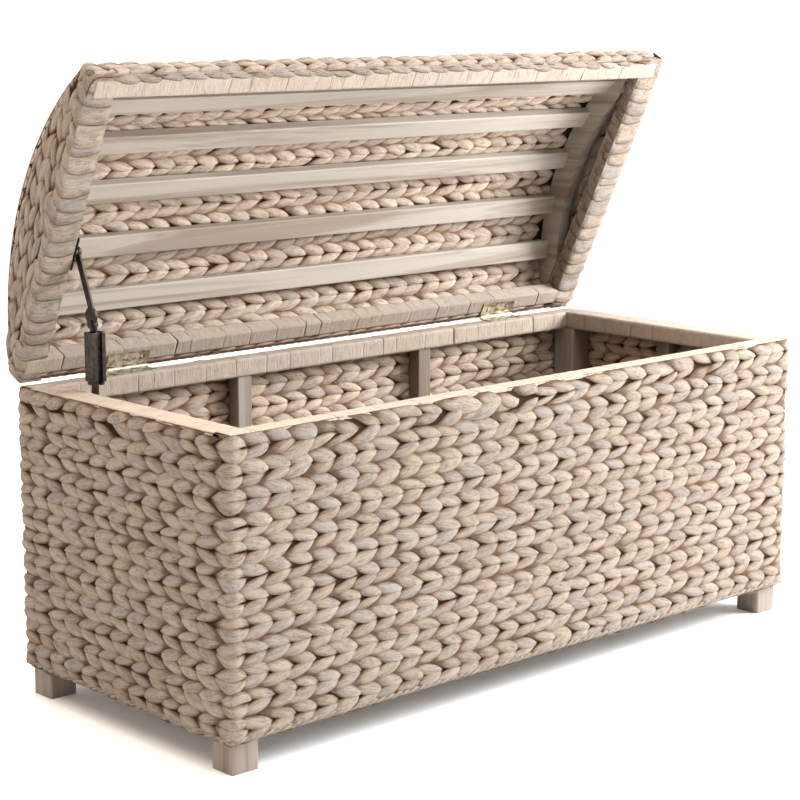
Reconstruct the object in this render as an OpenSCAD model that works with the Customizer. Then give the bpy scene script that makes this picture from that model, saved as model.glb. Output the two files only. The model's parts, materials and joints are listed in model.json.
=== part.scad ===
// Storage ottoman: a woven chest on a wooden frame with a shallow domed lid,
// two butt hinges at the back and one folding lid stay at the left end.
// The lid is drawn open, resting on its stay. Millimetres, +Z up, -Y is the front.
// The origin is on the floor, in the middle of the footprint with the lid open.

/* [Chest] */
// Length over the weave
chest_len = 1000; // [800:10:1200]
// Depth over the weave
chest_depth = 420; // [380:10:500]
// Height of the rim above the floor
rim_z = 390; // [340:5:450]
// Height of the weave's lower edge above the floor
skirt_z = 40; // [30:1:60]
// Side of the square corner posts
post_w = 38; // [32:1:45]
// Thickness of the woven skin
weave_t = 10; // [8:0.5:12]
// Width of the front and back rails
rail_w = 22; // [20:1:26]
// Width of the end rails
end_rail_w = 35; // [30:1:36]
// Height of the rails with their leaf wrap
rail_h = 24; // [20:1:28]
// Width of the uprights
upright_w = 24; // [20:1:30]
// Depth of the uprights
upright_d = 20; // [16:1:22]

/* [Lid] */
// Angle between the lid as drawn and the closed lid
lid_open = 64.5; // [0:0.5:64.5]
// Height of the lid's straight band
band_h = 33; // [28:1:45]
// Rise of the dome above the band
dome_rise = 62; // [50:1:75]
// Width of a slat
slat_w = 28; // [22:1:32]
// Thickness of a slat
slat_t = 14; // [10:1:16]
// Radial depth of the curved end ribs
rib_d = 34; // [26:1:40]

/* [Hardware] */
// Length of a hinge
hinge_len = 64; // [50:1:76]
// Distance of each hinge from the middle
hinge_x = 333; // [250:1:360]
// Reach of a hinge leaf from the pin's axis
leaf_w = 22; // [18:1:22]
// Radius of the hinge pin
pin_r = 1.5; // [1.2:0.1:1.6]

/* [Hidden] */
$fn = 48;
chest_y = -17;
half_len = chest_len / 2;
half_depth = chest_depth / 2;
frame_x = half_len - weave_t;
frame_y = half_depth - weave_t;
rail_z = rim_z - rail_h;
wrap_t = 1.5;
post_x = frame_x - post_w / 2;
post_y = frame_y - post_w / 2;
upright_x = 163;
upright_r = 2;
edge_r = 3;

bottom_rail_h = 30;
bottom_rail_z = skirt_z + 5;
bottom_rail_d = 20;
floor_z = bottom_rail_z + bottom_rail_h;
floor_t = 6;
floor_gap = 0.5;
weave_top_z = rim_z - 2;

// The hinge pins lie half way up the gap between the rims
rim_gap = 7;
pin_y = half_depth - 3;
pin_z = rim_z + rim_gap / 2;

// Lid coordinates start at the hinge axis, with the closed lid reaching to -Y
lid_bottom = rim_gap / 2;
lid_front = -(pin_y + half_depth);
lid_back = half_depth - pin_y;
lid_mid = (lid_front + lid_back) / 2;
lid_h = band_h + dome_rise;
dome_r = (half_depth * half_depth + dome_rise * dome_rise) / (2 * dome_rise);
dome_z = lid_bottom + lid_h - dome_r;
lid_rail_h = 22;
lid_rail_top = lid_bottom + lid_rail_h;
rib_t = 18;
rib_x = frame_x - end_rail_w;
slat_gap = 0.4;
slat_r = 2;
slat_angles = [-23, -12.5, -1, 10.5, 21.5];

leaf_t = 1.8;
knuckle_r = 3.2;
knuckles = 5;
knuckle_len = hinge_len / knuckles;
knuckle_gap = 0.15;
bore_gap = 0.05;
leaf_back = -(knuckle_r + 0.5);
screw_r = 1.45;
screw_hole_r = 1.6;
screw_head_r = 3;
screw_head_t = 0.8;
screw_len = 14;
screw_step = 20;

// The stay works in a plane beside the left end rail
stay_t = 2.5;
upper_x = -449.2;
lower_x = -446.4;
stay_rivet_r = 3;
lid_eye = [-176, 10];
elbow = [114, 472];
stay_foot = [160, 308];
arm_bend_z = 350;
arm_w = 12;
strap_w = 10;
cam_r = 11;
cam_rise = 10;
housing_top = elbow[1] - 10;
housing_len = 64;
housing_w = 20;
housing_d = 18;
housing_wall = 1.5;
housing_x = -453.5;
arm_fit = 0.1;
arm_play = 0.3;
eye_play = 0.5;
cam_shift = 4;
eye_r = 7;
foot_eye_r = 9;
boss_r = 6;
rivet_head_r = 5;
rivet_head_t = 2;
rivet_gap = 0.2;
rivet_len = lower_x + stay_t - upper_x + 2 * (rivet_gap + rivet_head_t);
spring_r = 3.6;
spring_wire = 1;
spring_len = 42;
spring_x = lower_x + stay_t + 4.5;
spring_z = housing_top - housing_len + 4;
stay_screw_r = 1.6;
stay_hole_r = 1.8;
stay_head_r = 3.5;
stay_head_t = 1.2;
// The foot's plate lies on the face of the back left post
foot_x = post_w - frame_x;
foot_plate_at = [stay_foot[0] - 8, stay_foot[1] - 20];
foot_plate = [46, 40];
foot_screws = [for (dz = [-12, 12]) [stay_foot[0] + 26, stay_foot[1] + dz]];
// The lid's plate lies on the left end rail
lid_plate_t = 2;
lid_plate_half = 22;
lid_plate_z = lid_bottom + 1;
lid_screws = [for (dy = [-15, 15]) [lid_eye[0] + dy, lid_bottom + 12]];
// Where the upper arm meets the lid's bracket with the lid open
eye_yz = [
    pin_y + lid_eye[0] * cos(lid_open) + lid_eye[1] * sin(lid_open),
    pin_z - lid_eye[0] * sin(lid_open) + lid_eye[1] * cos(lid_open)
];

wood = "#d9c4b0";
leaf = "#cfb796";
brass = "#a58f5f";
steel = "#2e2826";

// Placing helpers

module on_chest() translate([0, chest_y, 0]) children();

module on_lid() on_chest() translate([0, pin_y, pin_z]) rotate([-lid_open, 0, 0]) children();

// A block between two opposite corners
module block(low, high) translate(low) cube(high - low);

// Carries a flat shape drawn in Y and Z to a slab between two X positions
module slab_x(x, t) translate([x, 0, 0]) rotate([90, 0, 90]) linear_extrude(t) children();

// A bar along X with its long edges eased
module bar_x(low, high, r) {
    size = high - low;
    slab_x(low[0], size[0])
        translate([low[1] + r, low[2] + r])
            eased(size[1], size[2], r);
}

// A rectangle with rounded corners, drawn from the centre of its first corner
module eased(w, h, r) {
    translate([0, -r]) square([w - 2 * r, h]);
    translate([-r, 0]) square([w, h - 2 * r]);
    for (a = [0, w - 2 * r], b = [0, h - 2 * r]) translate([a, b]) circle(r);
}

// Wooden frame of the chest

module post(sx, sy) color(wood) on_chest()
    translate([sx * post_x - post_w / 2 + edge_r, sy * post_y - post_w / 2 + edge_r, 0])
        linear_extrude(rail_z) eased(post_w, post_w, edge_r);

// Cores of the rails: the leaf wrap covers their tops, undersides and inner faces
core_low = rail_z + wrap_t;
core_high = rim_z - wrap_t;
core_x = frame_x - end_rail_w + wrap_t;
core_y = frame_y - rail_w + wrap_t;

module top_rail_long(sy) color(wood) on_chest()
    block([-frame_x, sy > 0 ? core_y : -frame_y, core_low],
          [frame_x, sy > 0 ? frame_y : -core_y, core_high]);

module top_rail_end(sx) color(wood) on_chest()
    block([sx > 0 ? core_x : -frame_x, -core_y, core_low],
          [sx > 0 ? frame_x : -core_x, core_y, core_high]);

module rim_wrap() color(leaf) on_chest() difference() {
    block([-frame_x, -frame_y, rail_z], [frame_x, frame_y, rim_z]);
    block([wrap_t - core_x, wrap_t - core_y, rail_z - 1],
          [core_x - wrap_t, core_y - wrap_t, rim_z + 1]);
    difference() {
        block([-frame_x - 1, -frame_y - 1, core_low], [frame_x + 1, frame_y + 1, core_high]);
        block([-core_x, -core_y, core_low - 1], [core_x, core_y, core_high + 1]);
    }
}

module bottom_rail_long(sy) color(wood) on_chest()
    block([post_w - frame_x, sy > 0 ? frame_y - bottom_rail_d : -frame_y, bottom_rail_z],
          [frame_x - post_w, sy > 0 ? frame_y : bottom_rail_d - frame_y, floor_z]);

module bottom_rail_end(sx) color(wood) on_chest()
    block([sx > 0 ? frame_x - bottom_rail_d : -frame_x, post_w - frame_y, bottom_rail_z],
          [sx > 0 ? frame_x : bottom_rail_d - frame_x, frame_y - post_w, floor_z]);

module upright_long(sx, sy) color(wood) on_chest()
    translate([sx * upright_x - upright_w / 2 + upright_r,
               sy > 0 ? frame_y - upright_d + upright_r : upright_r - frame_y, floor_z + floor_t])
        linear_extrude(rail_z - floor_z - floor_t) eased(upright_w, upright_d, upright_r);

module upright_end(sx) color(wood) on_chest()
    translate([sx > 0 ? frame_x - upright_d + upright_r : upright_r - frame_x,
               upright_r - upright_w / 2, floor_z + floor_t])
        linear_extrude(rail_z - floor_z - floor_t) eased(upright_d, upright_w, upright_r);

module floor_panel() color(wood) on_chest()
    translate([0, 0, floor_z]) linear_extrude(floor_t) difference() {
        square([2 * (frame_x - floor_gap), 2 * (frame_y - floor_gap)], center = true);
        for (sx = [-1, 1], sy = [-1, 1]) translate([sx * post_x, sy * post_y])
            square(post_w + 2 * floor_gap, center = true);
    }

module floor_bearers() color(wood) on_chest() for (s = [-1, 1])
    block([s * upright_x - upright_w / 2, bottom_rail_d - frame_y, bottom_rail_z],
          [s * upright_x + upright_w / 2, frame_y - bottom_rail_d, floor_z]);

// Woven skin of the chest, with its vertical edges rounded

module weave_long(sy) color(leaf) on_chest() scale([1, sy, 1])
    translate([0, 0, skirt_z]) linear_extrude(weave_top_z - skirt_z) {
        translate([-frame_x, frame_y]) square([2 * frame_x, weave_t]);
        for (s = [-1, 1]) intersection() {
            translate([s * frame_x, frame_y]) circle(weave_t);
            translate([s > 0 ? frame_x : -half_len, frame_y]) square(weave_t);
        }
    }

module weave_end(sx) color(leaf) on_chest()
    block([sx > 0 ? frame_x : -half_len, -frame_y, skirt_z],
          [sx > 0 ? half_len : -frame_x, frame_y, weave_top_z]);

// Wooden frame of the lid

lid_core_low = lid_bottom + wrap_t;
lid_core_high = lid_rail_top - wrap_t;
lid_outer_f = lid_front + weave_t;
lid_outer_b = lid_back - weave_t;
lid_inner_f = lid_outer_f + rail_w - wrap_t;
lid_inner_b = lid_outer_b - rail_w + wrap_t;

module lid_rail_long(front) color(wood) on_lid()
    block([-frame_x, front ? lid_outer_f : lid_inner_b, lid_core_low],
          [frame_x, front ? lid_inner_f : lid_outer_b, lid_core_high]);

module lid_rail_end(sx) color(wood) on_lid()
    block([sx > 0 ? core_x : -frame_x, lid_inner_f, lid_core_low],
          [sx > 0 ? frame_x : -core_x, lid_inner_b, lid_core_high]);

module lid_rim_wrap() color(leaf) on_lid() difference() {
    block([-frame_x, lid_outer_f, lid_bottom], [frame_x, lid_outer_b, lid_rail_top]);
    block([wrap_t - core_x, lid_inner_f + wrap_t, lid_bottom - 1],
          [core_x - wrap_t, lid_inner_b - wrap_t, lid_rail_top + 1]);
    difference() {
        block([-frame_x - 1, lid_outer_f - 1, lid_core_low],
              [frame_x + 1, lid_outer_b + 1, lid_core_high]);
        block([-core_x, lid_inner_f, lid_core_low - 1], [core_x, lid_inner_b, lid_core_high + 1]);
    }
}

// The lid's outline in Y and Z, moved in from the outside by a margin
module lid_outline(inset, low) intersection() {
    translate([lid_front + inset, low])
        square([lid_back - lid_front - 2 * inset, lid_bottom + lid_h - low]);
    translate([lid_mid, dome_z]) circle(dome_r - inset, $fn = 360);
}

module lid_rib(sx) color(wood) on_lid()
    slab_x(sx > 0 ? rib_x : -rib_x - rib_t, rib_t) difference() {
        lid_outline(weave_t, lid_rail_top);
        translate([lid_mid, dome_z]) circle(dome_r - weave_t - rib_d, $fn = 360);
    }

module lid_slat(i) color(wood) on_lid()
    translate([0, lid_mid, dome_z]) rotate([-slat_angles[i - 1], 0, 0])
        bar_x([-rib_x, -slat_w / 2, dome_r - weave_t - slat_gap - slat_t],
              [rib_x, slat_w / 2, dome_r - weave_t - slat_gap], slat_r);

// Woven skin of the lid

module lid_weave_band(front) color(leaf) on_lid()
    block([-frame_x, front ? lid_front : lid_outer_b, lid_bottom],
          [frame_x, front ? lid_outer_f : lid_back, lid_bottom + band_h]);

module lid_weave_top() color(leaf) on_lid() slab_x(-frame_x, 2 * frame_x) difference() {
    lid_outline(0, lid_bottom + band_h);
    translate([lid_mid, dome_z]) circle(dome_r - weave_t, $fn = 360);
}

module lid_weave_end(sx) color(leaf) on_lid()
    slab_x(sx > 0 ? frame_x : -half_len, weave_t) lid_outline(0, lid_bottom);

// Hinges: leaves are drawn in lid coordinates, the body's leaf turned over

module knuckle_row(first) for (i = [first:2:knuckles - 1])
    translate([i * knuckle_len + knuckle_gap - hinge_len / 2, 0, 0]) children();

module screw_spots() for (i = [-1:1]) translate([i * screw_step, -leaf_w / 2 - 1, 0]) children();

module hinge_leaf(first) difference() {
    union() {
        block([-hinge_len / 2, -leaf_w, lid_bottom - leaf_t],
              [hinge_len / 2, leaf_back, lid_bottom]);
        knuckle_row(first) {
            block([0, leaf_back - 1, lid_bottom - leaf_t],
                  [knuckle_len - 2 * knuckle_gap, 0, knuckle_r]);
            rotate([0, 90, 0]) cylinder(r = knuckle_r, h = knuckle_len - 2 * knuckle_gap);
        }
    }
    translate([-hinge_len / 2 - 1, 0, 0]) rotate([0, 90, 0])
        cylinder(r = pin_r + bore_gap, h = hinge_len + 2);
    screw_spots() translate([0, 0, -1]) cylinder(r = screw_hole_r, h = lid_bottom + 2);
}

module hinge_screw() translate([0, 0, lid_bottom - leaf_t]) {
    cylinder(r = screw_r, h = screw_len);
    translate([0, 0, -screw_head_t]) cylinder(r = screw_head_r, h = screw_head_t);
}

module on_hinge(sx) translate([sx * hinge_x, 0, 0]) children();

module at_pin() on_chest() translate([0, pin_y, pin_z]) children();

module body_leaf(sx) color(brass) at_pin() on_hinge(sx) mirror([0, 0, 1]) hinge_leaf(0);

module lid_leaf(sx) color(brass) on_lid() on_hinge(sx) hinge_leaf(1);

module hinge_pin(sx) color(brass) at_pin() on_hinge(sx)
    translate([-hinge_len / 2, 0, 0]) rotate([0, 90, 0]) cylinder(r = pin_r, h = hinge_len);

module hinge_body_screws() color(brass) at_pin() for (s = [-1, 1])
    on_hinge(s) mirror([0, 0, 1]) screw_spots() hinge_screw();

module hinge_lid_screws() color(brass) on_lid() for (s = [-1, 1])
    on_hinge(s) screw_spots() hinge_screw();

// Lid stay: a cranked lower arm in a spring housing, and an upper arm with a cam

module disc_x(x, t, at, r) translate([x, at[0], at[1]]) rotate([0, 90, 0]) cylinder(r = r, h = t);

// A flat strap in Y and Z with round ends
module strap(a, b, w) {
    run = norm(b - a);
    translate(a) rotate(atan2(b[1] - a[1], b[0] - a[0])) translate([0, -w / 2]) square([run, w]);
    translate(a) circle(w / 2);
    translate(b) circle(w / 2);
}

// A round-headed screw with its head on a face at x and its shank running to -X
module stay_screw(x, shank, at) {
    disc_x(x, stay_head_t, at, stay_head_r);
    disc_x(x - shank, shank, at, stay_screw_r);
}

module stay_foot_bracket() color(steel) on_chest() difference() {
    union() {
        slab_x(foot_x, stay_t) translate(foot_plate_at) square(foot_plate);
        disc_x(foot_x, lower_x - arm_play - foot_x, stay_foot, eye_r);
        disc_x(foot_x, lower_x + stay_t + arm_play - foot_x, stay_foot, stay_rivet_r);
        disc_x(lower_x + stay_t + arm_play, rivet_head_t, stay_foot, boss_r);
    }
    for (at = foot_screws) disc_x(-frame_x, frame_x, at, stay_hole_r);
}

module stay_foot_screws() color(steel) on_chest()
    for (at = foot_screws) stay_screw(foot_x + stay_t, screw_len + stay_t, at);

module stay_lower_arm() color(steel) on_chest() difference() {
    slab_x(lower_x, stay_t) {
        strap([elbow[0], arm_bend_z], elbow, arm_w);
        strap(stay_foot, [elbow[0], arm_bend_z], arm_w);
        translate(stay_foot) circle(foot_eye_r);
    }
    disc_x(lower_x - 1, stay_t + 2, stay_foot, stay_rivet_r + bore_gap);
    disc_x(lower_x - 1, stay_t + 2, elbow, stay_rivet_r + bore_gap);
}

module stay_housing() color(steel) on_chest()
    translate([housing_x, elbow[0] - housing_d / 2, housing_top - housing_len]) difference() {
        translate([edge_r, edge_r, 0]) linear_extrude(housing_len)
            eased(housing_w, housing_d, edge_r);
        translate([housing_wall, housing_wall, housing_wall])
            cube([housing_w - 2 * housing_wall, housing_d - 2 * housing_wall, housing_len]);
        translate([lower_x - housing_x - arm_fit, (housing_d - arm_w) / 2 - arm_fit, -1])
            cube([stay_t + 2 * arm_fit, arm_w + 2 * arm_fit, housing_wall + 2]);
    }

module stay_spring() color("gray") on_chest()
    translate([spring_x, elbow[0], spring_z]) difference() {
        cylinder(r = spring_r, h = spring_len);
        translate([0, 0, -1]) cylinder(r = spring_r - spring_wire, h = spring_len + 2);
    }

module stay_elbow_rivet() color(steel) on_chest() {
    disc_x(upper_x - rivet_gap - rivet_head_t, rivet_head_t, elbow, rivet_head_r);
    disc_x(upper_x - rivet_gap - rivet_head_t, rivet_len, elbow, stay_rivet_r);
    disc_x(lower_x + stay_t + rivet_gap, rivet_head_t, elbow, rivet_head_r);
}

module stay_upper_arm() color(steel) on_chest() {
    difference() {
        slab_x(upper_x, stay_t) {
            strap([elbow[0] - cam_shift, elbow[1] + cam_rise], eye_yz, strap_w);
            translate([elbow[0], elbow[1] + cam_rise]) circle(cam_r);
            translate(elbow) circle(eye_r);
            translate(eye_yz) circle(eye_r);
        }
        disc_x(upper_x - 1, stay_t + 2, elbow, stay_rivet_r + bore_gap);
    }
    disc_x(upper_x + stay_t, rivet_head_t, eye_yz, rivet_head_r);
}

module stay_lid_bracket() color(steel) on_lid() difference() {
    union() {
        block([-rib_x, lid_eye[0] - lid_plate_half, lid_plate_z],
              [lid_plate_t - rib_x, lid_eye[0] + lid_plate_half, lid_rail_top]);
        disc_x(-rib_x, upper_x - eye_play + rib_x, lid_eye, boss_r);
    }
    for (at = lid_screws) disc_x(-frame_x, frame_x, at, stay_hole_r);
}

module stay_lid_screws() color(steel) on_lid()
    for (at = lid_screws) stay_screw(lid_plate_t - rib_x, screw_len + lid_plate_t, at);

post(-1, -1);  // post_front_left
post(1, -1);  // post_front_right
post(-1, 1);  // post_back_left
post(1, 1);  // post_back_right
top_rail_long(-1);  // top_rail_front
top_rail_long(1);  // top_rail_back
top_rail_end(-1);  // top_rail_left
top_rail_end(1);  // top_rail_right
rim_wrap();
bottom_rail_long(-1);  // bottom_rail_front
bottom_rail_long(1);  // bottom_rail_back
bottom_rail_end(-1);  // bottom_rail_left
bottom_rail_end(1);  // bottom_rail_right
upright_long(-1, -1);  // upright_front_left
upright_long(1, -1);  // upright_front_right
upright_long(-1, 1);  // upright_back_left
upright_long(1, 1);  // upright_back_right
upright_end(-1);  // upright_end_left
upright_end(1);  // upright_end_right
floor_panel();
floor_bearers();
weave_long(-1);  // weave_front
weave_long(1);  // weave_back
weave_end(-1);  // weave_left
weave_end(1);  // weave_right
lid_rail_long(true);  // lid_rail_front
lid_rail_long(false);  // lid_rail_back
lid_rail_end(-1);  // lid_rail_left
lid_rail_end(1);  // lid_rail_right
lid_rim_wrap();
lid_rib(-1);  // lid_rib_left
lid_rib(1);  // lid_rib_right
lid_slat(1);  // lid_slat_1
lid_slat(2);  // lid_slat_2
lid_slat(3);  // lid_slat_3
lid_slat(4);  // lid_slat_4
lid_slat(5);  // lid_slat_5
lid_weave_band(true);  // lid_weave_front
lid_weave_band(false);  // lid_weave_back
lid_weave_top();
lid_weave_end(-1);  // lid_weave_left
lid_weave_end(1);  // lid_weave_right
body_leaf(-1);  // hinge_left_body_leaf
lid_leaf(-1);  // hinge_left_lid_leaf
hinge_pin(-1);  // hinge_left_pin
body_leaf(1);  // hinge_right_body_leaf
lid_leaf(1);  // hinge_right_lid_leaf
hinge_pin(1);  // hinge_right_pin
hinge_body_screws();
hinge_lid_screws();
stay_foot_bracket();
stay_foot_screws();
stay_lower_arm();
stay_housing();
stay_spring();
stay_elbow_rivet();
stay_upper_arm();
stay_lid_bracket();
stay_lid_screws();
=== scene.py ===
"""A woven storage ottoman with its lid propped open: leaf braids, wrapped rims, wood and hardware."""
import json
import math

import bpy
import numpy as np
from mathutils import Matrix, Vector


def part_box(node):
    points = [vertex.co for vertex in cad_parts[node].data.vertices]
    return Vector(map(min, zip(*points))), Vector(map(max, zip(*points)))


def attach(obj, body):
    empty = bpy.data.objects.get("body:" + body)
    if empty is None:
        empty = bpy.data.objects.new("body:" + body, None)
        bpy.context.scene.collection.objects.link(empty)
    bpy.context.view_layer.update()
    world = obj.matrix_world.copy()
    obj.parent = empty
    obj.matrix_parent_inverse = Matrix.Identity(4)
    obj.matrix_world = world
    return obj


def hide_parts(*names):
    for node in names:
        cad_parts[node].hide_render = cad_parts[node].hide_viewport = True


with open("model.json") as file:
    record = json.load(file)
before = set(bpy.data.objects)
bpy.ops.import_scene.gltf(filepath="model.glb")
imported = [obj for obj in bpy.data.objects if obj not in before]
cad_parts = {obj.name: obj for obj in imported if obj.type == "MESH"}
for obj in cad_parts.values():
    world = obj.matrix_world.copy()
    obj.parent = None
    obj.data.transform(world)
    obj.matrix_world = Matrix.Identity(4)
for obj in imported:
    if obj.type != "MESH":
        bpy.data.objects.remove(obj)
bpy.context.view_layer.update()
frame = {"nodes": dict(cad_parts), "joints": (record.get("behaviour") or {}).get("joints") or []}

MM = 0.001
LID_OPEN = math.radians(64.5)
ROW = 29 * MM  # height of one braid of the lid's ends, two leaves high
PITCH = 33 * MM  # distance between the tips of a braid
LEAF_LENGTH = 58 * MM
LEAF_HALF_WIDTH = 8.8 * MM
LEAF_BULGE = 5.0 * MM
BELLY = 2.6 * MM  # how far a leaf's lower face hangs below its middle
DIP_FROM = 0.72  # the share of a leaf's length from which its tip bends down
TOP_DEEPEST = -4.2 * MM  # where a tucked leaf's upper face stops, below the skin
LEAF_DEEPEST = -4.85 * MM  # where its lower face stops, just above the backing
LEAF_RINGS = 12
LEAF_SIDES = 12
BACKING = (-4.9 * MM, -5.1 * MM)  # the upper and lower face of the near-black sheet under the leaves, which paints the shade in the gaps between them
GRAIN = 10 * MM  # length of one unit of a strand's pattern coordinates
PAST = 13 * MM  # how far the last tip of a braid may pass its end
SKIN = 10 * MM  # thickness of a woven panel, between its outer and inner leaves
WRAP = 1.5 * MM  # thickness of the leaf wrap round a rail
NO_FACES = np.zeros((0, 3), int)

nodes = frame["nodes"]
hinge = next(j for j in frame["joints"] if j["name"] == "lid_hinge")["pos_m"]


# Places


def lid_to_row(points):
    """Carries points from the closed lid's own axes, which start at the hinge, to the open lid."""
    c, s = math.cos(LID_OPEN), math.sin(LID_OPEN)
    x, y, z = points[..., 0], points[..., 1], points[..., 2]
    return np.stack([x, hinge[1] + y * c + z * s, hinge[2] - y * s + z * c], -1)


def lid_box(name):
    """Lowest and highest corner of a CAD node in the closed lid's own axes."""
    co = np.array([v.co for v in nodes[name].data.vertices])
    c, s = math.cos(LID_OPEN), math.sin(LID_OPEN)
    y, z = co[:, 1] - hinge[1], co[:, 2] - hinge[2]
    local = np.stack([co[:, 0], y * c - z * s, y * s + z * c], 1)
    return local.min(0), local.max(0)


def make_path(points, blur, closed=False):
    """A polyline sampled every millimetre with its corners rounded: lengths, places and normals.

    The normal is on the right of the direction of travel."""
    p = np.array(points, float)
    if closed:
        p = np.vstack([p, p[:1]])
    s = np.concatenate([[0], np.cumsum(np.linalg.norm(np.diff(p, axis=0), axis=1))])
    t = np.linspace(0, s[-1], int(s[-1] / MM) + 1)
    q = np.stack([np.interp(t, s, p[:, k]) for k in (0, 1)], 1)
    half = max(1, int(blur / MM / 2))
    if closed:
        padded = np.vstack([q[-half - 1:-1], q, q[1:half + 1]])
    else:
        before = q[0] - (q[1] - q[0]) * np.arange(half, 0, -1)[:, None]
        after = q[-1] + (q[-1] - q[-2]) * np.arange(1, half + 1)[:, None]
        padded = np.vstack([before, q, after])
    kernel = np.ones(2 * half + 1) / (2 * half + 1)
    q = np.stack([np.convolve(padded[:, k], kernel, "valid") for k in (0, 1)], 1)
    s = np.concatenate([[0], np.cumsum(np.linalg.norm(np.diff(q, axis=0), axis=1))])
    run = np.gradient(q, axis=0)
    if closed:
        run[0] = run[-1] = (run[0] + run[-1]) / 2
    run /= np.linalg.norm(run, axis=1)[:, None]
    return s, q, np.stack([run[:, 1], -run[:, 0]], 1)


def on_path(path, at, out):
    """Places at a length along a path and a height above it."""
    s, q, n = path
    place = [np.interp(at, s, q[:, k]) + out * np.interp(at, s, n[:, k]) for k in (0, 1)]
    before, after = np.minimum(at, 0), np.maximum(at - s[-1], 0)
    ends = [before * -n[0, 1] + after * -n[-1, 1], before * n[0, 0] + after * n[-1, 0]]
    return place[0] + ends[0], place[1] + ends[1]


def mesh_object(name, points, quads, triangles, attributes, material, smooth=True):
    """A closed mesh from arrays of points, four-sided and three-sided faces and point attributes.

    Its faces are turned to look outwards."""
    corners = points[np.vstack([quads[:, :3], quads[:, [0, 2, 3]], triangles])]
    volume = np.einsum("ij,ij->i", corners[:, 0], np.cross(corners[:, 1], corners[:, 2])).sum()
    if volume < 0:
        quads, triangles = quads[:, ::-1], triangles[:, ::-1]
    mesh = bpy.data.meshes.new(name)
    mesh.vertices.add(len(points))
    mesh.vertices.foreach_set("co", points.astype(np.float32).ravel())
    corners = np.concatenate([quads.ravel(), triangles.ravel()]).astype(np.int32)
    sizes = np.concatenate([np.full(len(quads), 4), np.full(len(triangles), 3)])
    starts = np.concatenate([[0], np.cumsum(sizes)[:-1]]).astype(np.int32)
    mesh.loops.add(len(corners))
    mesh.loops.foreach_set("vertex_index", corners)
    mesh.polygons.add(len(sizes))
    mesh.polygons.foreach_set("loop_start", starts)
    mesh.update(calc_edges=True)
    mesh.polygons.foreach_set("use_smooth", np.full(len(sizes), smooth))
    for key, values in attributes.items():
        layer = mesh.attributes.new(key, "FLOAT_VECTOR", "POINT")
        layer.data.foreach_set("vector", values.astype(np.float32).ravel())
    mesh.materials.append(material)
    obj = bpy.data.objects.new(name, mesh)
    bpy.context.scene.collection.objects.link(obj)
    return obj


# Leaf strands


def tube_faces(rings, sides, count):
    """Faces of closed tubes whose first and last points are poles: quads, then triangles."""
    i = np.arange(rings - 1)[:, None] * sides
    j = np.arange(sides)[None, :]
    k = (j + 1) % sides
    quads = np.stack([i + j, i + k, i + sides + k, i + sides + j], -1).reshape(-1, 4)
    j, k = j[0], k[0]
    tail, tip = rings * sides, rings * sides + 1
    last = (rings - 1) * sides
    fans = [np.stack([np.full(sides, tail), k, j], 1),
            np.stack([last + j, last + k, np.full(sides, tip)], 1)]
    triangles = np.vstack(fans)
    step = np.arange(count)[:, None, None] * (rings * sides + 2)
    return (quads[None] + step).reshape(-1, 4), (triangles[None] + step).reshape(-1, 3)


def leaf_points(leaf):
    """Points of every leaf on the flat surface (along, across, out), with its pattern coordinates.

    leaf holds one array per measure. A leaf runs from a narrow tucked tail to a round tip."""
    count = len(leaf["tip_u"])
    i = np.linspace(0, 1, LEAF_RINGS + 2)
    t = (1 - (1 - i) ** 1.5)[None, :, None]
    angle = (np.arange(LEAF_SIDES) * 2 * math.pi / LEAF_SIDES)[None, None, :]
    m = {key: value[:, None, None] for key, value in leaf.items()}
    tail, tip = m["tail_power"], m["tip_power"]
    peak = (tail / (tail + tip)) ** tail * (tip / (tail + tip)) ** tip
    width = t ** tail * (1 - t) ** tip / peak
    along = m["tip_u"] - m["way"] * m["length"] * (1 - t)
    across = m["tip_v"] + m["side"] * (
        m["rise"] * (1 - t ** m["curl"]) + m["sway"] * t * t * (1 - t))
    run_u = m["way"] * m["length"]
    run_v = m["side"] * (m["sway"] * (2 * t - 3 * t * t)
                         - m["rise"] * m["curl"] * t ** (m["curl"] - 1))
    size = np.sqrt(run_u ** 2 + run_v ** 2)
    wave = 1 + 0.06 * np.sin(3 * angle + m["seed"]) + 0.03 * np.sin(5 * angle + 7 * m["seed"])
    off = m["half_width"] * width * np.cos(angle) * (1 + 0.05 * np.sin(9 * t + m["seed"]))
    rise = np.sin(angle)
    thick = np.where(rise > 0, m["bulge"] * width ** 0.65 * wave, BELLY * width)
    rise = np.sign(rise) * np.abs(rise) ** 0.75
    tuck = m["tuck"] * np.maximum(1 - t / 0.8, 0) ** 1.5
    dip = np.where(t > DIP_FROM, m["dip"] * ((t - DIP_FROM) / (1 - DIP_FROM)) ** 2, 0)
    out = m["base"] - tuck - dip + thick * rise + m["tilt"] * off
    deepest = np.where(rise > 0.1, TOP_DEEPEST + 0.25 * MM * np.sin(9 * m["seed"]), LEAF_DEEPEST)
    out = np.maximum(out, deepest)
    u = along - run_v / size * off
    v = across + run_u / size * off
    flat = np.stack(np.broadcast_arrays(u, v, out), -1)
    pattern = np.stack(np.broadcast_arrays(off / GRAIN, m["length"] * t / GRAIN, m["seed"]), -1)
    form = np.stack(np.broadcast_arrays(np.cos(angle) * np.ones_like(t), t, out / GRAIN), -1)

    def gather(a):
        body = a[:, 1:-1].reshape(count, LEAF_RINGS * LEAF_SIDES, 3)
        return np.concatenate([body, a[:, :1, 0], a[:, -1:, 0]], 1).reshape(-1, 3)

    return gather(flat), gather(pattern), gather(form)


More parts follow.
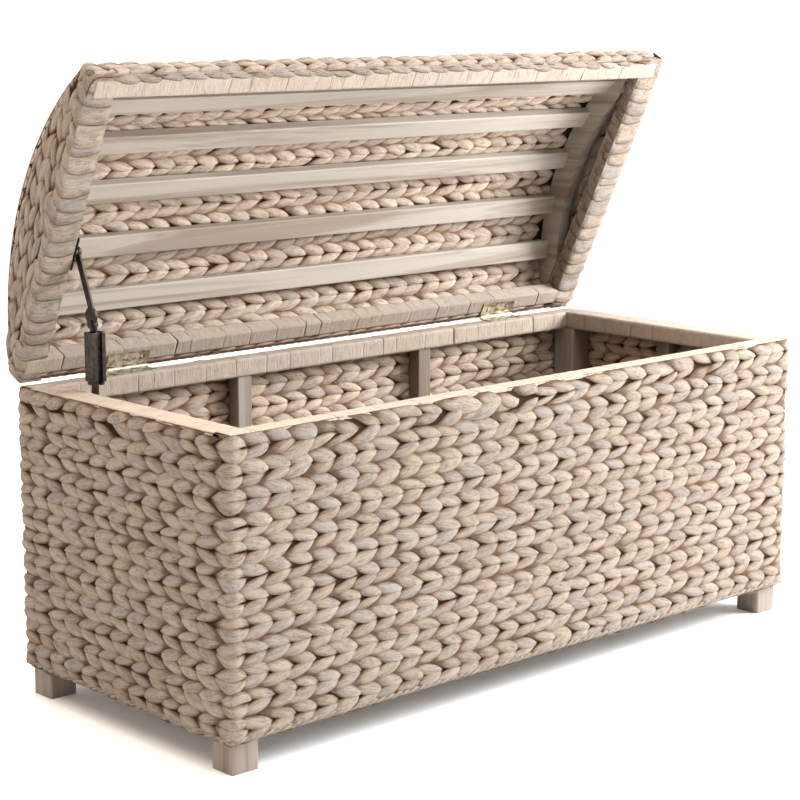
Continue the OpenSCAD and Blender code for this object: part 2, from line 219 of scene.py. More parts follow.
def braid_leaves(rng, spans):
    """Measures of the leaves of braids.

    spans holds (start, end, way, height of the braid's middle, first tip, wildness)."""
    rows = []
    for start, end, way, middle, first, wildness in spans:
        tips = np.arange(first, abs(end - start) + PAST, PITCH)
        for side in (1, -1):
            along = tips + rng.normal(0, 1.2 * MM * wildness, len(tips)) + side * 1.2 * MM
            same = [np.full(len(tips), value) for value in (middle, way, side, wildness)]
            rows.append(np.stack([start + way * along, *same], 1))
    u, v, way, side, wildness = np.vstack(rows).T
    n = len(u)

    def vary(middle, share):
        return middle * (1 + np.clip(rng.normal(0, share, n) * wildness, -0.5, 0.5))

    return {
        "tip_u": u, "tip_v": v + side * vary(1.1 * MM, 0.6), "way": way, "side": side,
        "length": vary(LEAF_LENGTH, 0.08), "rise": vary(13.4 * MM, 0.10),
        "curl": np.clip(vary(1.2, 0.12), 1.02, 3), "half_width": vary(LEAF_HALF_WIDTH, 0.12),
        "bulge": vary(LEAF_BULGE, 0.12), "tuck": vary(6.0 * MM, 0.12), "dip": vary(1.2 * MM, 0.4),
        "base": -4.6 * MM + rng.normal(0, 0.35 * MM, n) * wildness,
        "sway": rng.normal(0, 8 * MM, n) * wildness,
        "tail_power": np.clip(vary(1.2, 0.10), 0.6, 2.5),
        "tip_power": np.clip(vary(0.90, 0.12), 0.4, 1.5),
        "tilt": side * rng.normal(-0.05, 0.08, n), "seed": rng.uniform(0, 50, n),
    }


def first_tip(rng):
    return 10 * MM + rng.uniform(0, PITCH)


def corner_leaves(rng, at, reach, middles):
    """Leaves bent round a corner at a length along the surface, over the tails on both sides."""
    rows = []
    for (ahead, behind), middle in zip(reach, middles):
        for side in (1, -1):
            rows.append((at + ahead + rng.normal(0, MM), middle, side, ahead + behind))
    u, v, side, length = np.array(rows).T
    n, one = len(u), np.ones(len(u))

    def vary(middle, share):
        return middle * (1 + np.clip(rng.normal(0, share, n), -0.5, 0.5))

    return {
        "tip_u": u, "tip_v": v + side * vary(1.2 * MM, 0.5), "way": one, "side": side, "length": length,
        "rise": vary(1.0 * MM, 0.5), "curl": 1.5 * one, "half_width": vary(9.4 * MM, 0.08),
        "bulge": vary(4.8 * MM, 0.1), "tuck": vary(1.6 * MM, 0.2), "dip": vary(1.4 * MM, 0.3),
        "base": rng.normal(-4.4 * MM, 0.3 * MM, n), "sway": vary(40 * MM, 0.12),
        "tail_power": vary(0.95, 0.08), "tip_power": vary(0.80, 0.08),
        "tilt": rng.normal(0, 0.05, n), "seed": rng.uniform(0, 50, n),
    }


def joined(first, second):
    return {key: np.concatenate([value, second[key]]) for key, value in first.items()}


def chosen(leaf, keep):
    return {key: value[keep] for key, value in leaf.items()}


def woven(name, body, leaf, surface, material):
    """Makes the leaves into one piece on a surface, which maps (along, across, out) to a place."""
    flat, pattern, form = leaf_points(leaf)
    quads, triangles = tube_faces(LEAF_RINGS, LEAF_SIDES, len(leaf["tip_u"]))
    # The way a leaf runs turns its faces over
    backward = leaf["way"] < 0
    quads = turned(quads, np.repeat(backward, len(quads) // len(backward)))
    triangles = turned(triangles, np.repeat(backward, len(triangles) // len(backward)))
    points = surface(flat[:, 0], flat[:, 1], flat[:, 2])
    piece = mesh_object(name, points, quads, triangles, {"strand": pattern, "form": form}, material)
    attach(piece, body)
    return piece


def turned(faces, which):
    return np.where(which[:, None], faces[:, ::-1], faces)


def sheet_mesh(name, body, surface, u_range, v_range, depth, material, cells):
    """A thin closed sheet under a weave, between two heights of its surface."""
    nu, nv = cells
    u, v = np.meshgrid(np.linspace(*u_range, nu + 1), np.linspace(*v_range, nv + 1), indexing="ij")
    layers = [surface(u.ravel(), v.ravel(), np.full(u.size, d)) for d in depth]
    points = np.vstack(layers)
    i, j = np.meshgrid(np.arange(nu), np.arange(nv), indexing="ij")
    a = (i * (nv + 1) + j).ravel()
    top = np.stack([a, a + nv + 1, a + nv + 2, a + 1], 1)
    low = top[:, ::-1] + u.size
    edge = np.concatenate([np.arange(nu + 1) * (nv + 1), nu * (nv + 1) + np.arange(1, nv + 1),
                           (np.arange(nu)[::-1]) * (nv + 1) + nv, np.arange(1, nv)[::-1]])
    ahead = np.roll(edge, -1)
    sides = np.stack([ahead, edge, edge + u.size, ahead + u.size], 1)
    u, v = np.tile(u.ravel(), 2), np.tile(v.ravel(), 2)
    attributes = {"strand": np.stack([v / GRAIN, u / GRAIN, 0 * u + 4], 1),
                  "form": np.stack([0 * u, 0 * u + 0.7, 0 * u - 0.2], 1)}
    quads = np.vstack([top, low, sides])
    piece = mesh_object(name, points, quads, NO_FACES, attributes, material)
    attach(piece, body)


# Materials


def node_material(name):
    material = bpy.data.materials.new(name)
    material.use_nodes = True
    return material, material.node_tree, material.node_tree.nodes["Principled BSDF"]


def add(tree, kind, inputs=None, **settings):
    """Adds a shader node. inputs maps a socket's name to a value or to another node's output."""
    made = tree.nodes.new(kind)
    for key, value in settings.items():
        setattr(made, key, value)
    for key, value in (inputs or {}).items():
        socket = made.inputs[key]
        if isinstance(value, bpy.types.NodeSocket):
            tree.links.new(value, socket)
        else:
            socket.default_value = value
    return made


def math_node(tree, operation, a, b=0.0, clamp=False):
    return add(tree, "ShaderNodeMath", {0: a, 1: b}, operation=operation, use_clamp=clamp).outputs[0]


def mix_colour(tree, factor, a, b):
    made = add(tree, "ShaderNodeMix", data_type="RGBA", blend_type="MIX")
    for socket, value in ((made.inputs[0], factor), (made.inputs[6], a), (made.inputs[7], b)):
        if isinstance(value, bpy.types.NodeSocket):
            tree.links.new(value, socket)
        else:
            socket.default_value = value if socket is made.inputs[0] else (*value, 1)
    return made.outputs[2]


def noise(tree, vector, scale, detail=3.0, roughness=0.55, distortion=0.0):
    return add(tree, "ShaderNodeTexNoise", {
        "Vector": vector, "Scale": scale, "Detail": detail, "Roughness": roughness,
        "Distortion": distortion}).outputs["Fac"]


def stretched(tree, vector, scale):
    return add(tree, "ShaderNodeMapping", {"Vector": vector, "Scale": scale}).outputs[0]


def steps(tree, value, low, high):
    """Takes a value to 0 at low and 1 at high."""
    return add(tree, "ShaderNodeMapRange", {
        "Value": value, "From Min": low, "From Max": high}, interpolation_type="SMOOTHSTEP").outputs[0]


def leaf_material(name, light, tan, brown, grey):
    """Dry whitewashed leaf: fibres along the strand, brown creases, and painted shade: tan edges, tails
    and sunken parts (partly the leaf's own unbleached colour) and brown in the deepest parts.
    """
    material, tree, shader = node_material(name)
    strand = add(tree, "ShaderNodeAttribute", attribute_name="strand").outputs["Vector"]
    form = add(tree, "ShaderNodeAttribute", attribute_name="form").outputs["Vector"]
    parts = add(tree, "ShaderNodeSeparateXYZ", {0: form})
    own = add(tree, "ShaderNodeSeparateXYZ", {0: strand}).outputs[2]
    fibre = noise(tree, stretched(tree, strand, (9, 0.7, 1)), 1.0, 4, 0.65, 0.3)
    fine = noise(tree, stretched(tree, strand, (30, 2.0, 1)), 1.0, 2)
    patch = noise(tree, stretched(tree, strand, (1.4, 0.7, 1)), 1.0, 3)
    crease = noise(tree, stretched(tree, strand, (4.2, 0.45, 1)), 1.0, 3, 0.6, 0.5)
    wrinkle = noise(tree, stretched(tree, strand, (4, 5, 1)), 1.0, 3, 0.65, 1.4)
    whole = add(tree, "ShaderNodeTexWhiteNoise", {"W": own}, noise_dimensions="1D").outputs["Value"]
    other = add(tree, "ShaderNodeTexWhiteNoise", {"W": math_node(tree, "ADD", own, 7.3)},
                noise_dimensions="1D").outputs["Value"]
    # Tan at the edges, the tucked tails and the sunken parts: partly the leaf's own unbleached colour,
    # partly painted shade and bounce light where the leaves overlap and tuck under each other
    edge = math_node(tree, "POWER", math_node(tree, "ABSOLUTE", parts.outputs[0]), 3.0)
    tail = steps(tree, parts.outputs[1], 0.38, 0.15)
    low = steps(tree, parts.outputs[2], -0.12, -0.42)
    greyness = math_node(tree, "ADD", steps(tree, patch, 0.40, 0.72),
                         steps(tree, other, 0.62, 1.0), clamp=True)
    colour = mix_colour(tree, greyness, light, grey)
    tan_and_painted_shade = math_node(tree, "MULTIPLY", edge, 0.95)
    creased = steps(tree, crease, 0.48, 0.70)
    for share, amount in ((low, 0.75), (tail, 0.20), (whole, 0.32), (creased, 0.55)):
        tan_and_painted_shade = math_node(tree, "ADD", tan_and_painted_shade, math_node(tree, "MULTIPLY", share, amount))
    tan_and_painted_shade = math_node(tree, "MULTIPLY", tan_and_painted_shade, steps(tree, fibre, 0.05, 0.70), clamp=True)
    colour = mix_colour(tree, tan_and_painted_shade, colour, tan)
    streak = math_node(tree, "MULTIPLY", steps(tree, fine, 0.48, 0.70), 0.45)
    colour = mix_colour(tree, streak, colour, tan)
    line = math_node(tree, "ABSOLUTE", math_node(tree, "SUBTRACT", crease, 0.5))
    dark = math_node(tree, "MULTIPLY", steps(tree, line, 0.030, 0.006),
                     steps(tree, patch, 0.44, 0.60))
    speck = math_node(tree, "MULTIPLY", steps(tree, wrinkle, 0.64, 0.74),
                      steps(tree, patch, 0.5, 0.62))
    dark = math_node(tree, "ADD", math_node(tree, "MULTIPLY", dark, 0.55),
                     math_node(tree, "MULTIPLY", speck, 0.45), clamp=True)
    colour = mix_colour(tree, dark, colour, brown)
    # Painted shade: brown in the deepest parts of the leaves, where they sink towards the dark sheet below
    painted_depth_shade = math_node(tree, "MULTIPLY", steps(tree, parts.outputs[2], -0.27, -0.47), 0.8)
    colour = mix_colour(tree, painted_depth_shade, colour, brown)
    tree.links.new(colour, shader.inputs["Base Color"])
    shader.inputs["Specular IOR Level"].default_value = 0.22
    rough = add(tree, "ShaderNodeMapRange", {
        "Value": fibre, "To Min": 0.62, "To Max": 0.88}).outputs[0]
    tree.links.new(rough, shader.inputs["Roughness"])
    height = math_node(tree, "MULTIPLY", crease, 1.1)
    for layer, amount in ((fibre, 0.45), (fine, 0.15), (wrinkle, 0.40)):
        height = math_node(tree, "ADD", height, math_node(tree, "MULTIPLY", layer, amount))
    height = math_node(tree, "SUBTRACT", height, math_node(tree, "MULTIPLY", dark, 0.4))
    bump = add(tree, "ShaderNodeBump", {"Height": height, "Strength": 0.85, "Distance": 0.0015})
    tree.links.new(bump.outputs[0], shader.inputs["Normal"])
    return material


WOOD_LIGHT, WOOD_DARK, WOOD_WASH = (0.395, 0.345, 0.295), (0.26, 0.20, 0.15), (0.41, 0.38, 0.345)


def wood_material(name, along, light, dark):
    """Whitewashed softwood with its grain along one axis: 0 for X, 1 for Y and 2 for Z."""
    material, tree, shader = node_material(name)
    place = add(tree, "ShaderNodeTexCoord").outputs["Object"]
    scale = [38.0] * 3
    scale[along] = 1.6
    fine_scale = [420.0] * 3
    fine_scale[along] = 9.0
    grain = noise(tree, stretched(tree, place, scale), 1.0, 5, 0.6, 1.4)
    fine = noise(tree, stretched(tree, place, fine_scale), 1.0, 3)
    wash = noise(tree, stretched(tree, place, [s * 0.35 for s in scale]), 1.0, 3)
    colour = mix_colour(tree, steps(tree, grain, 0.40, 0.62), light, dark)
    colour = mix_colour(tree, math_node(tree, "MULTIPLY", steps(tree, wash, 0.42, 0.66), 0.45),
                        colour, WOOD_WASH)
    colour = mix_colour(tree, math_node(tree, "MULTIPLY", steps(tree, fine, 0.55, 0.8), 0.25),
                        colour, dark)
    tree.links.new(colour, shader.inputs["Base Color"])
    rough = add(tree, "ShaderNodeMapRange", {
        "Value": grain, "To Min": 0.5, "To Max": 0.72}).outputs[0]
    tree.links.new(rough, shader.inputs["Roughness"])
    height = math_node(tree, "ADD", math_node(tree, "MULTIPLY", grain, 0.5),
                       math_node(tree, "MULTIPLY", fine, 0.5))
    bump = add(tree, "ShaderNodeBump", {"Height": height, "Strength": 0.35, "Distance": 0.0006})
    tree.links.new(bump.outputs[0], shader.inputs["Normal"])
    return material


def metal_material(name, light, dark, rough_low, rough_high):
    material, tree, shader = node_material(name)
    place = add(tree, "ShaderNodeTexCoord").outputs["Object"]
    cloud = noise(tree, place, 160, 4, 0.65)
    grit = noise(tree, place, 900, 2)
    colour = mix_colour(tree, steps(tree, cloud, 0.4, 0.66), light, dark)
    tree.links.new(colour, shader.inputs["Base Color"])
    shader.inputs["Metallic"].default_value = 1.0
    rough = add(tree, "ShaderNodeMapRange", {
        "Value": cloud, "To Min": rough_low, "To Max": rough_high}).outputs[0]
    tree.links.new(rough, shader.inputs["Roughness"])
    bump = add(tree, "ShaderNodeBump", {"Height": grit, "Strength": 0.25, "Distance": 0.0003})
    tree.links.new(bump.outputs[0], shader.inputs["Normal"])
    return material


def plain_material(name, colour, roughness):
    material, tree, shader = node_material(name)
    place = add(tree, "ShaderNodeTexCoord").outputs["Object"]
    cloud = noise(tree, place, 60, 3)
    dark = tuple(c * 0.7 for c in colour)
    tree.links.new(mix_colour(tree, cloud, dark, colour), shader.inputs["Base Color"])
    shader.inputs["Roughness"].default_value = roughness
    shader.inputs["Specular IOR Level"].default_value = 0.1
    return material


leaf_outer = leaf_material("leaf", (0.345, 0.290, 0.226), (0.155, 0.095, 0.057),
                           (0.05, 0.024, 0.012), (0.290, 0.260, 0.240))
# The inside leaves are paler and warmer: partly their own unbleached colour, partly painted light that
# brightens the shaded inside of the chest and lid
leaf_inner_with_painted_light = leaf_material("leaf_inside_with_painted_light", (0.60, 0.505, 0.41), (0.31, 0.195, 0.125),
                           (0.10, 0.05, 0.03), (0.47, 0.41, 0.36))
leaf_wrap = leaf_material("leaf_wrap", (0.43, 0.365, 0.295), (0.33, 0.245, 0.175),
                          (0.20, 0.12, 0.08), (0.42, 0.365, 0.325))
# Painted shade: a near-black brown for the sheets under the leaves and the sleeves under the rim bands,
# seen as dark gaps between strands
under = plain_material("painted_shade_under_leaf", (0.040, 0.020, 0.011), 0.95)
wood = [wood_material("wood_" + "xyz"[k], k, WOOD_LIGHT, WOOD_DARK) for k in range(2)]
wood.append(wood_material("wood_z", 2, (0.235, 0.190, 0.155), (0.155, 0.112, 0.083)))
brass = metal_material("antique_brass", (0.46, 0.42, 0.34), (0.17, 0.145, 0.105), 0.28, 0.5)
steel = metal_material("black_steel", (0.085, 0.070, 0.062), (0.045, 0.037, 0.034), 0.34, 0.5)
spring_steel = metal_material("spring_steel", (0.35, 0.34, 0.33), (0.2, 0.2, 0.2), 0.25, 0.4)


# Chest weave

front_low, front_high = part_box("weave_front")
wrap_low, wrap_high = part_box("rim_wrap")
skirt, skin_top = front_low.z, front_high.z
x0, x1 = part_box("weave_left")[0].x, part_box("weave_right")[1].x
y0, y1 = front_low.y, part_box("weave_back")[1].y

# The path starts at the front left corner and runs to +X along the front
ring = make_path([(x0, y0), (x1, y0), (x1, y1), (x0, y1)], 28 * MM, closed=True)
ring_length = ring[0][-1]


def corner_at(x, y):
    """The length along the path where it passes a corner."""
    return ring[0][np.argmin(np.hypot(ring[1][:, 0] - x, ring[1][:, 1] - y))]


front_right, back_right, back_left = corner_at(x1, y0), corner_at(x1, y1), corner_at(x0, y1)


def chest_skin(u, v, w):
    """u runs round the chest, v is the height and w stands out; nothing rises past the rim wrap."""
    x, y = on_path(ring, np.mod(u, ring_length), w)
    return np.stack([x, y, np.minimum(v, wrap_high.z - 0.4 * MM)], -1)


def chest_inside(u, v, w):
    return chest_skin(u, v, -SKIN - w)


def carried_on(first, length):
    """The first tip of a braid that carries on from one of a given length and first tip."""
    return PAST + np.mod(first - length - PAST, PITCH)


rows = np.arange(12)
lower_rows, upper_rows = np.split(rows, 2)
row_height = (skin_top - skirt) / len(rows)
middles = skirt + row_height * (rows + 0.5)
rng = np.random.default_rng(7)

# The braids start at the front left corner both ways and meet at the back right corner
bends = rng.uniform(23 * MM, 33 * MM, (len(rows), 2))
front_first, left_first = (bends + PITCH).T
right_first = carried_on(front_first, front_right)
back_first = carried_on(left_first, ring_length - back_left)
left_over = np.stack([back_left - back_right - back_first, back_right - front_right - right_first], 1)
meeting = np.clip(np.mod(left_over, PITCH) + 10 * MM, 15 * MM, 38 * MM)
weave_groups = {
    "weave_front_lower": (0, front_right, 1, lower_rows, front_first),
    "weave_front_upper": (0, front_right, 1, upper_rows, front_first),
    "weave_right_side": (front_right, back_right - PAST, 1, rows, right_first),
    "weave_left_side": (ring_length, back_left, -1, rows, left_first),
    "weave_back_lower": (back_left, back_right + PAST, -1, lower_rows, back_first),
    "weave_back_upper": (back_left, back_right + PAST, -1, upper_rows, back_first),
}
WILD_ROW, EVEN_ROW = 1.6, 0.8
for group, (start, end, way, chosen_rows, firsts) in weave_groups.items():
    outer, inner = [], []
    for k in chosen_rows:
        wildness = WILD_ROW if k == rows[-1] else EVEN_ROW
        outer.append((start, end, way, middles[k], firsts[k], wildness))
        inner.append((start, end, way, middles[k], first_tip(rng), EVEN_ROW))
    leaf = braid_leaves(rng, outer)
    if start == 0:
        leaf = joined(leaf, corner_leaves(rng, 0, bends[chosen_rows], middles[chosen_rows]))
    if group == "weave_right_side":
        leaf = joined(leaf, corner_leaves(rng, back_right, meeting, middles))
    woven(group, "chest", leaf, chest_skin, leaf_outer)
    woven(group + "_inner", "chest", braid_leaves(rng, inner), chest_inside, leaf_inner_with_painted_light)
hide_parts("weave_front")
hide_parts("weave_right")
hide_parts("weave_left")
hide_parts("weave_back")
# A near-black sheet under the chest's leaves paints the shade in the gaps between them
sheet_mesh("weave_backing", "chest", chest_skin, (0, ring_length - MM),
           (skirt + 3 * MM, skin_top - 2 * MM), BACKING, under, (560, 4))


# Lid weave

(_, lid_y0, band_z0), (_, _, band_z1) = lid_box("lid_weave_front")
lid_y1, crown_z = lid_box("lid_weave_back")[1][1], lid_box("lid_weave_top")[1][2]
chord, rise = lid_y1 - lid_y0, crown_z - band_z1
dome_r = (chord * chord / 4 + rise * rise) / (2 * rise)
dome_y, dome_z = (lid_y0 + lid_y1) / 2, crown_z - dome_r
dome_half = math.asin(chord / 2 / dome_r)
arc = [(dome_y + dome_r * math.sin(a), dome_z + dome_r * math.cos(a))
       for a in np.linspace(-dome_half, dome_half, 60)]
# The profile runs from the back band's lower edge, over the dome, to the front band's lower edge
profile = make_path([(lid_y1, band_z0)] + arc[::-1] + [(lid_y0, band_z0)], 16 * MM)
profile_length = profile[0][-1]
END_ROUND = 20 * MM
END_LEAN = 12 * MM


def lean(z):
    """How far the lid's ends lean in at a height."""
    return END_LEAN * np.clip((z - band_z0) / (crown_z - band_z0), 0, 1)


def lid_skin(u, v, w):
    """u runs along X and v over the profile from the back; the skin turns down the ends."""
    flat_end = x1 - END_ROUND - lean(on_path(profile, v, 0)[1])
    past = np.abs(u) - flat_end
    turn = np.clip(past / END_ROUND, 0, math.pi / 2)
    down = np.maximum(past - END_ROUND * math.pi / 2, 0)
    lift = w + END_ROUND
    v = np.clip(v, -MM, profile_length + MM)
    x = np.sign(u) * (np.minimum(np.abs(u), flat_end) + lift * np.sin(turn))
    y, z = on_path(profile, v, lift * np.cos(turn) - END_ROUND - down)
    return lid_to_row(np.stack([x, y, z], -1))


def lid_inside(u, v, w):
    y, z = on_path(profile, np.clip(v, 0, profile_length), -SKIN - w)
    return lid_to_row(np.stack([np.clip(u, x0 + 14 * MM, x1 - 14 * MM), y, z], -1))


def rounded_off(rim):
    """How far the end's rounded edge falls back at a distance from its rim."""
    short = np.clip(END_ROUND - rim, 0, END_ROUND)
    return END_ROUND - np.sqrt(END_ROUND ** 2 - short ** 2)


def lid_end(side):
    """The end panel: u runs along the lid's depth, v up and w out of the end; its edges round in."""
    margin = 3 * MM

    def place(u, v, w):
        u = np.clip(u, lid_y0 + margin, lid_y1 - margin)
        v = np.minimum(v, dome_height(u) - margin)
        rim = np.minimum(np.minimum(u - lid_y0, lid_y1 - u), dome_height(u) - v)
        return lid_to_row(np.stack([side * (x1 - lean(v) - rounded_off(rim) + w), u, v], -1))

    return place


def dome_height(y):
    return dome_z + np.sqrt(np.maximum(dome_r ** 2 - (y - dome_y) ** 2, 0))


LID_ROWS, BACK_ROWS = 17, 9
lid_middles = profile_length / LID_ROWS * (np.arange(LID_ROWS) + 0.5)
halves = {"lid_weave_front_half": lid_middles[BACK_ROWS:], "lid_weave_back_half": lid_middles[:BACK_ROWS]}
for group, part in halves.items():
    # The rows run on round the right end, apart from the lowest in front, which stops short of it
    ends = [x1 - 14 * MM if middle == lid_middles[-1] else x1 + 2 * MM for middle in part]
    outer = [(x0 + 12 * MM, end, 1, middle, first_tip(rng), EVEN_ROW) for middle, end in zip(part, ends)]
    woven(group, "lid", braid_leaves(rng, outer), lid_skin, leaf_outer)
    inner = [(x0 + 8 * MM, x1 - 30 * MM, 1, middle, first_tip(rng), EVEN_ROW) for middle in part]
    woven(group + "_inner", "lid", braid_leaves(rng, inner), lid_inside, leaf_inner_with_painted_light)
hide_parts("lid_weave_front", "lid_weave_top")
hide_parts("lid_weave_back")
# The same near-black sheet paints the shade between the lid's leaves
sheet_mesh("lid_backing", "lid", lid_skin, (x0 + 2 * MM, x1 - 2 * MM),
           (2 * MM, profile_length - 2 * MM), BACKING, under, (200, 120))


# A half braid turned under the lid's front edge

TURN_REACH = 30 * MM  # how far a path over an edge of the lid runs past it
front_turn = make_path([(lid_y0, band_z0 + TURN_REACH), (lid_y0, band_z0),
                        (lid_y0 + TURN_REACH, band_z0)], 8 * MM)
turn_at = front_turn[0][-1] / 2


def lid_front_turn(u, v, w):
    y, z = on_path(front_turn, turn_at + v, w)
    return lid_to_row(np.stack([u, y, z], -1))


leaf = braid_leaves(rng, [(x0 + 40 * MM, x1 - 46 * MM, 1, 11 * MM, first_tip(rng), EVEN_ROW)])
leaf = chosen(leaf, leaf["side"] < 0)
smaller = {"rise": 0.6, "half_width": 0.66, "bulge": 0.5, "base": 0.1, "tuck": 0.3}
for key, share in smaller.items():
    leaf[key] = leaf[key] * share
woven("lid_front_under_row", "lid", leaf, lid_front_turn, leaf_outer)


# The lid's ends: woven panels whose lowest strands turn over the rims


def rim_section(side):
    """The lid's end rim: u runs down its inner face, across its underside and up the end panel.

    Gives the surface and the length at which the path reaches the end panel's lower edge."""
    rim_low, rim_high = lid_box("lid_rail_" + ("left" if side < 0 else "right"))
    inner = min(abs(rim_low[0]), abs(rim_high[0])) - WRAP
    path = make_path([(inner, band_z0 + 20 * MM), (inner, band_z0), (x1, band_z0),
                      (x1, band_z0 + TURN_REACH)], 5 * MM)

    def place(u, v, w):
        x, z = on_path(path, u, w)
        y = np.clip(v, lid_y0, lid_y1)
        x = np.minimum(x, x1 - rounded_off(np.minimum(y - lid_y0, lid_y1 - y) + 2 * MM))
        return lid_to_row(np.stack([side * x, y, z], -1))

    return place, path[0][-1] - TURN_REACH


RIM_PITCH = 21.2 * MM


def rim_strands(rng, edge):
    """Wide strands from the rim's inner face, over the rim and up to the end panel's lowest braid."""
    at = np.arange(lid_y0 + 9 * MM, lid_y1 - 3 * MM, RIM_PITCH)
    n = len(at)

    def vary(middle, share):
        return middle * (1 + rng.normal(0, share, n))

    one = np.ones(n)
    return {
        "tip_u": edge + vary(15 * MM, 0.15), "tip_v": at - 9 * MM + rng.normal(0, 2.2 * MM, n),
        "way": one, "side": one, "length": vary(edge + 17 * MM, 0.02), "rise": vary(6 * MM, 0.4),
        "curl": 1.5 * one, "half_width": vary(15.6 * MM, 0.12), "bulge": vary(1.1 * MM, 0.2),
        "tuck": vary(0.5 * MM, 0.3), "dip": vary(1.5 * MM, 0.3),
        "base": rng.normal(-1.3 * MM, 0.2 * MM, n),
        "sway": vary(75 * MM, 0.2), "tail_power": 0.22 * one, "tip_power": 0.4 * one,
        "tilt": rng.normal(0.08, 0.03, n), "seed": rng.uniform(0, 50, n),
    }


for side, label in ((-1, "left"), (1, "right")):
    spans = []
    for height in (0.55, 1.5, 2.42):
        z = band_z0 + ROW * height
        reach = math.sqrt(max(dome_r ** 2 - (z + ROW * 0.25 - dome_z) ** 2, 0))
        reach = min(reach, chord / 2)
        spans.append((dome_y + reach, dome_y - reach, -1, z, first_tip(rng), 1))
    leaf = braid_leaves(rng, spans)
    tail_y = leaf["tip_u"] - leaf["way"] * leaf["length"] * 0.5
    top = leaf["tip_v"] + leaf["side"] * 7 * MM
    under_dome = top < np.minimum(dome_height(leaf["tip_u"]), dome_height(tail_y)) - 2 * MM
    lowest = (leaf["tip_v"] < spans[0][3]) & (leaf["side"] < 0)
    within = (leaf["tip_u"] > lid_y0 - 26 * MM) & (leaf["tip_u"] < lid_y1)
    leaf = chosen(leaf, under_dome & ~lowest & within)
    panel = lid_end(side)
    piece = woven("lid_weave_end_" + label, "lid", leaf, panel, leaf_outer)
    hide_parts("lid_weave_" + label)

    def panel_inside(u, v, w, panel=panel):
        return panel(u, v, -SKIN - w)

    woven("lid_weave_end_inner_" + label, "lid", leaf, panel_inside, leaf_inner_with_painted_light)

    def panel_map(u, v, w, panel=panel):
        """v runs from 0 at the end panel's foot to 1 under the dome."""
        return panel(u, band_z0 + 4 * MM + v * (dome_height(u) - band_z0 - 10 * MM), w)

    # A near-black sheet paints the shade between the end panel's leaves
    sheet_mesh("lid_end_backing_" + label, "lid", panel_map, (lid_y0 + 6 * MM, lid_y1 - 6 * MM), (0, 1),
               (-5.4 * MM, -6.2 * MM), under, (60, 8))
    section, edge = rim_section(side)
    woven("lid_rim_strands_" + label, "lid", rim_strands(rng, edge), section, leaf_outer)
    sheet_mesh("lid_rim_sleeve_" + label, "lid", section, (2 * MM, edge + 12 * MM),
               (lid_y0 + 3 * MM, lid_y1 - 3 * MM), (-1.1 * MM, -1.45 * MM), leaf_outer, (60, 4))


# Leaf bands wrapped round the rails


def wrap_bands(name, body, section, start, end, place):
    """Flat leaf bands side by side along a rail, over a dark sleeve that paints the shade in the cracks
    between them. section is the rail's outline.
    """
    around = 48
    sunk, sleeve_base = -0.5 * MM, -1.1 * MM  # heights where the bands' edges and the sleeve end
    at = np.linspace(0, section[0][-1], around, endpoint=False)
    rising = np.array([0.28, 0.35, 0.40]) * MM
    lift = np.concatenate([[sunk], rising, [0.42 * MM], rising[::-1], [sunk, sunk]])
    share = np.array([0, 0.008, 0.06, 0.25, 0.5, 0.75, 0.94, 0.992, 1, 0.5])
    points, pattern, form, count = [], [], [], 0
    along = start
    while along < end:
        width = rng.uniform(16, 58) * MM
        width = end - along if end - along < width + 6 * MM else width
        seed, base = rng.uniform(0, 50), rng.uniform(-0.10, 0.10) * MM
        slant, turn = rng.normal(0, 0.7 * MM), rng.uniform(0, 6)
        wobble = slant * np.sin(2 * math.pi * at / section[0][-1] + turn)
        fade = np.clip(np.minimum(along - start, end - along - width) / (8 * MM), 0, 1)
        u = along + width * share[:, None] + fade * wobble[None, :]
        fold = 0.15 * MM * np.sin(2 * math.pi * u / (5.3 * MM) + seed + at[None, :] / (9 * MM))
        a, b = on_path(section, np.broadcast_to(at, u.shape), lift[:, None] + base + fold)
        points.append(place(u, a, b).reshape(-1, 3))
        pattern.append(np.stack([u / GRAIN, np.broadcast_to(at, u.shape) / GRAIN,
                                 np.full(u.shape, seed)], -1).reshape(-1, 3))
        edge = 0.5 * (2 * share[:, None] - 1)
        form.append(np.stack(np.broadcast_arrays(edge, 0.7, 0 * u), -1).reshape(-1, 3))
        count += 1
        along += width + rng.choice([-0.8, -0.8, -0.8, -0.8, 0.5]) * MM
    quads = belt_faces(len(lift), around, count)
    attributes = {"strand": np.vstack(pattern), "form": np.vstack(form)}
    piece = mesh_object(name, np.vstack(points), quads, NO_FACES, attributes, leaf_wrap)
    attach(piece, body)
    # The sleeve is near-black: painted shade in the cracks between the bands
    sleeve_u = np.array([start + MM, end - MM, end - MM, start + MM])
    sleeve_lift = np.array([sunk, sunk, sleeve_base, sleeve_base])
    u = np.broadcast_to(sleeve_u[:, None], (4, around))
    a, b = on_path(section, np.broadcast_to(at, u.shape), sleeve_lift[:, None] + 0 * u)
    sleeve = mesh_object(name + "_sleeve", place(u, a, b).reshape(-1, 3),
                         belt_faces(4, around, 1), NO_FACES, {}, under)
    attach(sleeve, body)
    return piece


def belt_faces(across, around, count):
    """Faces of belts closed both ways, whose points run round the rail within each ring."""
    i = np.arange(across)[:, None] * around
    ahead = np.roll(np.arange(across), -1)[:, None] * around
    j = np.arange(around)[None, :]
    k = (j + 1) % around
    quads = np.stack([i + k, ahead + k, ahead + j, i + j], -1).reshape(-1, 4)
    return (quads[None] + np.arange(count)[:, None, None] * across * around).reshape(-1, 4)


def along_x(u, a, b):
    return np.stack([u, a, b], -1)


def along_y(u, a, b):
    return np.stack([a, -u, b], -1)


def on_lid_x(u, a, b):
    return lid_to_row(along_x(u, a, b))


def rail_outline(inner, outer, low, high, lip, lip_depth):
    """A rail's outline with a lip over the weave outside it, running so that its normals point out."""
    out = math.copysign(lip, outer - inner)
    corners = [(inner, low), (outer, low), (outer, high - lip_depth), (outer + out, high - lip_depth),
               (outer + out, high), (inner, high)]
    return make_path(corners if outer > inner else corners[::-1], 4 * MM, closed=True)


